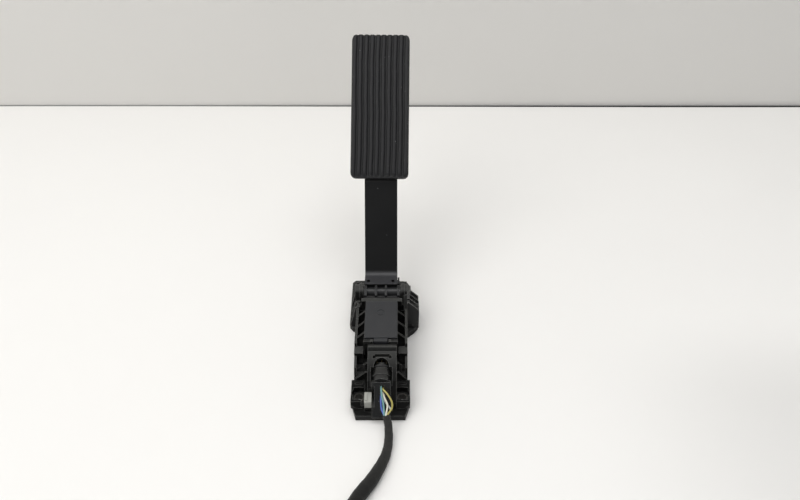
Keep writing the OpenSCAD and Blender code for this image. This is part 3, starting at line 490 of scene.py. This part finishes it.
# Size, rate and start of the waves by which the ribs wander, as in soft rubber
WANDER = [(0.22, 0.071, 1.3), (0.12, 0.19, 0.0)]
EDGE_SOFT = 1.2
EDGE_FALL = 0.7
END_STEPS = [0.0, 0.15, 0.5, 1.0, 1.6, 2.3, 3.2, 4.5]
arm_turn = math.radians(ARM_ANGLE)
pad_turn = math.radians(ARM_ANGLE - PAD_TURN)
turn_y = BEND_Y + BEND_R * math.sin(arm_turn) + ARM_LEN * math.cos(arm_turn)
turn_z = ARM_TOP + BEND_R - BEND_R * math.cos(arm_turn) + ARM_LEN * math.sin(arm_turn)
pad_matrix = (
    Matrix.Translation((PAD_X * MM, turn_y * MM, turn_z * MM))
    @ Matrix.Rotation(pad_turn, 4, "X")
    @ Matrix.Rotation(-math.radians(PAD_LEAN), 4, "Z")
    @ Matrix.Translation((0, PAD_START * MM, 0))
)


def half_width(v, half, length, radius):
    """Half width of a rounded rectangle at a distance v along it."""
    inset = min(v, length - v)
    if inset >= radius:
        return half
    return half - radius + math.sqrt(max(0.0, radius**2 - (radius - inset) ** 2))


def rib_height(u, v):
    """Height of the ribbed face at u across and v along."""
    pitch = PAD_W / RIBS
    wave = sum(size * math.sin(v * rate + start) for size, rate, start in WANDER)
    place = (u + wave + PAD_W / 2) / pitch
    across = abs((place % 1.0) - 0.5) * 2.0
    top = max(0.0, 1.0 - max(0.0, across - RIB_FLAT) / RIB_SLOPE)
    rib = math.sin(min(1.0, top) * math.pi / 2) ** RIB_ROUND
    start = min(1.0, max(0.0, (v - RIB_START) / RIB_RISE))
    end = 1.0 - END_FALL * (1.0 - min(1.0, (PAD_LEN - v) / EDGE_SOFT)) ** 2
    return BACKING_T + RUBBER_T - GROOVE_D + GROOVE_D * rib * end * start**0.5


def on_pad(u, v, height):
    return pad_matrix @ (Vector((u, v, height)) * MM)


def rubber_pad():
    """The ribbed top, the side walls, and the pocket for the backing plate underneath."""
    verts, faces = [], []
    straight = PAD_LEN - 2 * END_STEPS[-1]
    stations = END_STEPS + [END_STEPS[-1] + straight * k / 40 for k in range(1, 40)]
    stations += [PAD_LEN - step for step in reversed(END_STEPS)]
    columns = RIBS * RIB_COLUMNS
    for v in stations:
        half = half_width(v, PAD_W / 2, PAD_LEN, CORNER_R)
        for k in range(columns + 1):
            u = -half + 2 * half * k / columns
            edge = min(half - abs(u), EDGE_SOFT) / EDGE_SOFT
            verts.append(on_pad(u, v, rib_height(u, v) - EDGE_FALL * (1 - edge) ** 2))
    row = columns + 1
    for j in range(len(stations) - 1):
        for k in range(columns):
            a = j * row + k
            faces.append((a, a + 1, a + row + 1, a + row))
    rim = [k for k in range(row)] + [j * row + columns for j in range(1, len(stations))]
    rim += [(len(stations) - 1) * row + k for k in range(columns - 1, -1, -1)]
    rim += [j * row for j in range(len(stations) - 2, 0, -1)]
    inverse = pad_matrix.inverted()
    rim_points = [inverse @ verts[i] / MM for i in rim]
    half_len = PAD_LEN / 2
    inner_u = (PAD_W / 2 - POCKET_EDGE) / (PAD_W / 2)
    inner_v = (half_len - POCKET_EDGE) / half_len

    def loop(scale_u, scale_v, height):
        first = len(verts)
        for p in rim_points:
            verts.append(on_pad(p[0] * scale_u, (p[1] - half_len) * scale_v + half_len, height))
        return [first + i for i in range(len(rim_points))]

    def bridge(low, high):
        for i in range(len(low)):
            n = (i + 1) % len(low)
            faces.append((low[i], low[n], high[n], high[i]))

    foot = loop(1.0, 1.0, 0.0)
    lip = loop(inner_u, inner_v, 0.0)
    roof = loop(inner_u, inner_v, BACKING_T + POCKET_GAP)
    bridge(foot, rim)
    bridge(lip, foot)
    bridge(roof, lip)
    verts.append(on_pad(0, half_len, BACKING_T + POCKET_GAP))
    for i in range(len(roof)):
        faces.append((len(verts) - 1, roof[(i + 1) % len(roof)], roof[i]))
    return mesh_object("ribbed_rubber_pad", verts, faces)


pad = rubber_pad()
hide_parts("rubber_pad")
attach(pad, "pedal")


# Return springs between the housing and the pedal tail
SPRING_FRONT = -24.0
SPRING_BACK = 20.6
SPRING_Z = 17.0
CLOSED_TURNS = 0.8
CLOSED_PITCH = 1.05
STEPS_PER_TURN = 36


def coil(name, outer_d, wire, turns):
    y0 = SPRING_FRONT + wire / 2
    y1 = SPRING_BACK - wire / 2
    r = (outer_d - wire) / 2
    dead = CLOSED_TURNS * wire * CLOSED_PITCH
    path = []
    for i in range(turns * STEPS_PER_TURN + 1):
        s = i / STEPS_PER_TURN
        if s < CLOSED_TURNS:
            y = y0 + s * wire * CLOSED_PITCH
        elif s > turns - CLOSED_TURNS:
            y = y1 - (turns - s) * wire * CLOSED_PITCH
        else:
            y = y0 + dead + (s - CLOSED_TURNS) / (turns - 2 * CLOSED_TURNS) * (y1 - y0 - 2 * dead)
        angle = 2 * math.pi * s
        path.append(Vector((r * math.cos(angle), y, SPRING_Z + r * math.sin(angle))) * MM)
    return tube(name, path, lambda i, angle: wire / 2 * MM, 10)


outer_spring = coil("outer_spring_coil", 19.6, 2.0, 6)
inner_spring = coil("inner_spring_coil", 14.0, 1.4, 7)
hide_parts("return_spring_outer")
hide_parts("return_spring_inner")
for piece in (outer_spring, inner_spring):
    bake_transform(piece)

# For each node its material, and the radius in millimetres that softens its edges
painted = {
    "housing": (plastic, 0.25), "front_cover": (cover_plastic, 0.3), "sensor_cover": (sensor_plastic, 0.25),
    "sensor_screws": (bright_steel, 0.1), "pivot_shaft": (bright_steel, 0.2),
    "left_bush": (bush_plastic, 0.1), "right_bush": (bush_plastic, 0.1), "pedal_hub": (hub_plastic, 0.2),
    "pedal_arm": (arm_paint, 0.35), "arm_rivets": (rivet_black, 0.2), "pad_plate": (backing_plastic, 0.2),
    "pad_rivets": (bright_steel, 0.2), "spring_seat": (seat_plastic, 0.2), "spring_cup": (seat_plastic, 0.2),
    "magnet_carrier": (bright_steel, 0.1), "sensor_magnet": (magnet_metal, 0.1),
    "sensor_board": (board_green, 0.0), "lead_frame": (brass, 0.0), "bolt_sleeves": (sleeve_steel, 0.2),
    "idle_bumper": (stop_rubber, 0.3), "travel_bumper": (stop_rubber, 0.4), "plug_body": (plug_plastic, 0.2),
    "plug_seal": (seal_rubber, 0.1), "wire_lock": (lock_plastic, 0.3),
}
for name, (material, width) in painted.items():
    paint(nodes[name], material)
    if width > 0.0:
        soften(nodes[name], width)
paint(pad, rubber)
paint(outer_spring, spring_steel)
paint(inner_spring, spring_steel)
cloth_tape = tape_material()
paint(sleeve, cloth_tape)
paint(tape_top, cloth_tape)
copper = surface("cut_copper", (0.3, 0.16, 0.08), (0.5, 0.3, 0.16), 0.4, metallic=1.0)
paint(cut_wires, copper)
for wire_name, piece in wire_pieces.items():
    dark, light = wire_colors[wire_name]
    paint(piece, surface(wire_name, dark, light, 0.4, bump=0.05))

# Table, wall and lamps, in metres
TABLE_END = 0.4125
WALL_Y = TABLE_END + 0.0015
GAP_WIDE = 0.003
GAP_NARROW = 0.0002
CORNER_DIM = 0.85


def plane(name, corners, material):
    piece = mesh_object(name, corners, [tuple(range(len(corners)))], smooth=False)
    piece.data.materials.append(material)
    return piece


def stage_material(name, low, high, scale, rough):
    material, tree, shader = new_material(name)
    where = tree.nodes.new("ShaderNodeTexCoord")
    soft = add(tree, "ShaderNodeTexNoise", Scale=scale, Detail=4.0)
    tree.links.new(where.outputs["Object"], soft.inputs["Vector"])
    tree.links.new(tone_between(tree, soft.outputs["Fac"], low, high), shader.inputs["Base Color"])
    shader.inputs["Roughness"].default_value = rough
    shader.inputs["Specular IOR Level"].default_value = 0.2
    return material


def dim_corner(material, amount):
    """A table that is a little darker towards the near right corner."""
    tree = material.node_tree
    where = tree.nodes.new("ShaderNodeTexCoord")
    place = parts_of(tree, where.outputs["Object"])
    right = mask_node(tree, place["X"], 0.14, 0.38)
    near = mask_node(tree, place["Y"], 0.04, -0.07)
    base = tree.nodes["Principled BSDF"].inputs["Base Color"]
    dim = tree.nodes.new("ShaderNodeMix")
    dim.data_type = "RGBA"
    dim.blend_type = "MULTIPLY"
    dim.inputs["B"].default_value = (amount, amount, amount, 1.0)
    tree.links.new(combine(tree, "MULTIPLY", right, near), dim.inputs["Factor"])
    tree.links.new(base.links[0].from_socket, dim.inputs["A"])
    tree.links.new(dim.outputs["Result"], base)


table_white = stage_material("table_white", (0.85, 0.837, 0.812), (0.89, 0.877, 0.852), 3.0, 0.6)
dim_corner(table_white, CORNER_DIM)
wall_grey = stage_material("wall_grey", (0.8, 0.785, 0.755), (0.83, 0.815, 0.785), 2.0, 0.8)
edge_shade = stage_material("edge_shade", (0.03, 0.03, 0.03), (0.06, 0.06, 0.06), 5.0, 0.8)
plane("table", [(-2.0, -1.6, 0), (2.0, -1.6, 0), (2.0, TABLE_END, 0), (-2.0, TABLE_END, 0)], table_white)
plane("wall", [(-2.5, WALL_Y, -0.6), (2.5, WALL_Y, -0.6), (2.5, WALL_Y, 1.6), (-2.5, WALL_Y, 1.6)],
      wall_grey)

# Painted shade: a dark strip over the gap between the table's far end and the wall, reaching onto the table
# and wider to the right
edge_outline = [
    (-2.0, TABLE_END), (-0.3, TABLE_END - GAP_NARROW), (0.4, TABLE_END - GAP_WIDE),
    (2.0, TABLE_END - GAP_WIDE), (2.0, WALL_Y - GAP_NARROW), (-2.0, WALL_Y - GAP_NARROW),
]
plane("table_edge", [(x, y, 0.0002) for x, y in edge_outline], edge_shade)


def lamp(name, at, aim, width, height, power, color=(1, 1, 1)):
    data = bpy.data.lights.new(name, "AREA")
    data.shape = "RECTANGLE"
    data.size = width
    data.size_y = height
    data.energy = power
    data.color = color
    piece = bpy.data.objects.new(name, data)
    bpy.context.scene.collection.objects.link(piece)
    piece.location = at
    piece.rotation_euler = (Vector(aim) - Vector(at)).to_track_quat("-Z", "Y").to_euler()
    return piece


lamp("key", (-1.35, -0.85, 2.0), (0.0, 0.05, 0.0), 1.9, 1.9, 28.2, (1.0, 0.99, 0.97))
lamp("ceiling", (0.15, 0.28, 1.9), (0.1, 0.2, 0.0), 1.4, 1.2, 16.4, (1.0, 1.0, 1.0))

# Dim room light, brighter towards the wall than behind the camera
world = bpy.data.worlds.new("world")
bpy.context.scene.world = world
world.use_nodes = True
sky = world.node_tree
background = sky.nodes["Background"]
background.inputs["Color"].default_value = (0.95, 0.97, 1.0, 1.0)
direction = sky.nodes.new("ShaderNodeTexCoord")
towards = parts_of(sky, direction.outputs["Generated"])
strength = add(sky, "ShaderNodeMapRange", From_Min=-0.6, From_Max=0.7, To_Min=0.27, To_Max=1.05)
sky.links.new(towards["Y"], strength.inputs["Value"])
sky.links.new(strength.outputs["Result"], background.inputs["Strength"])
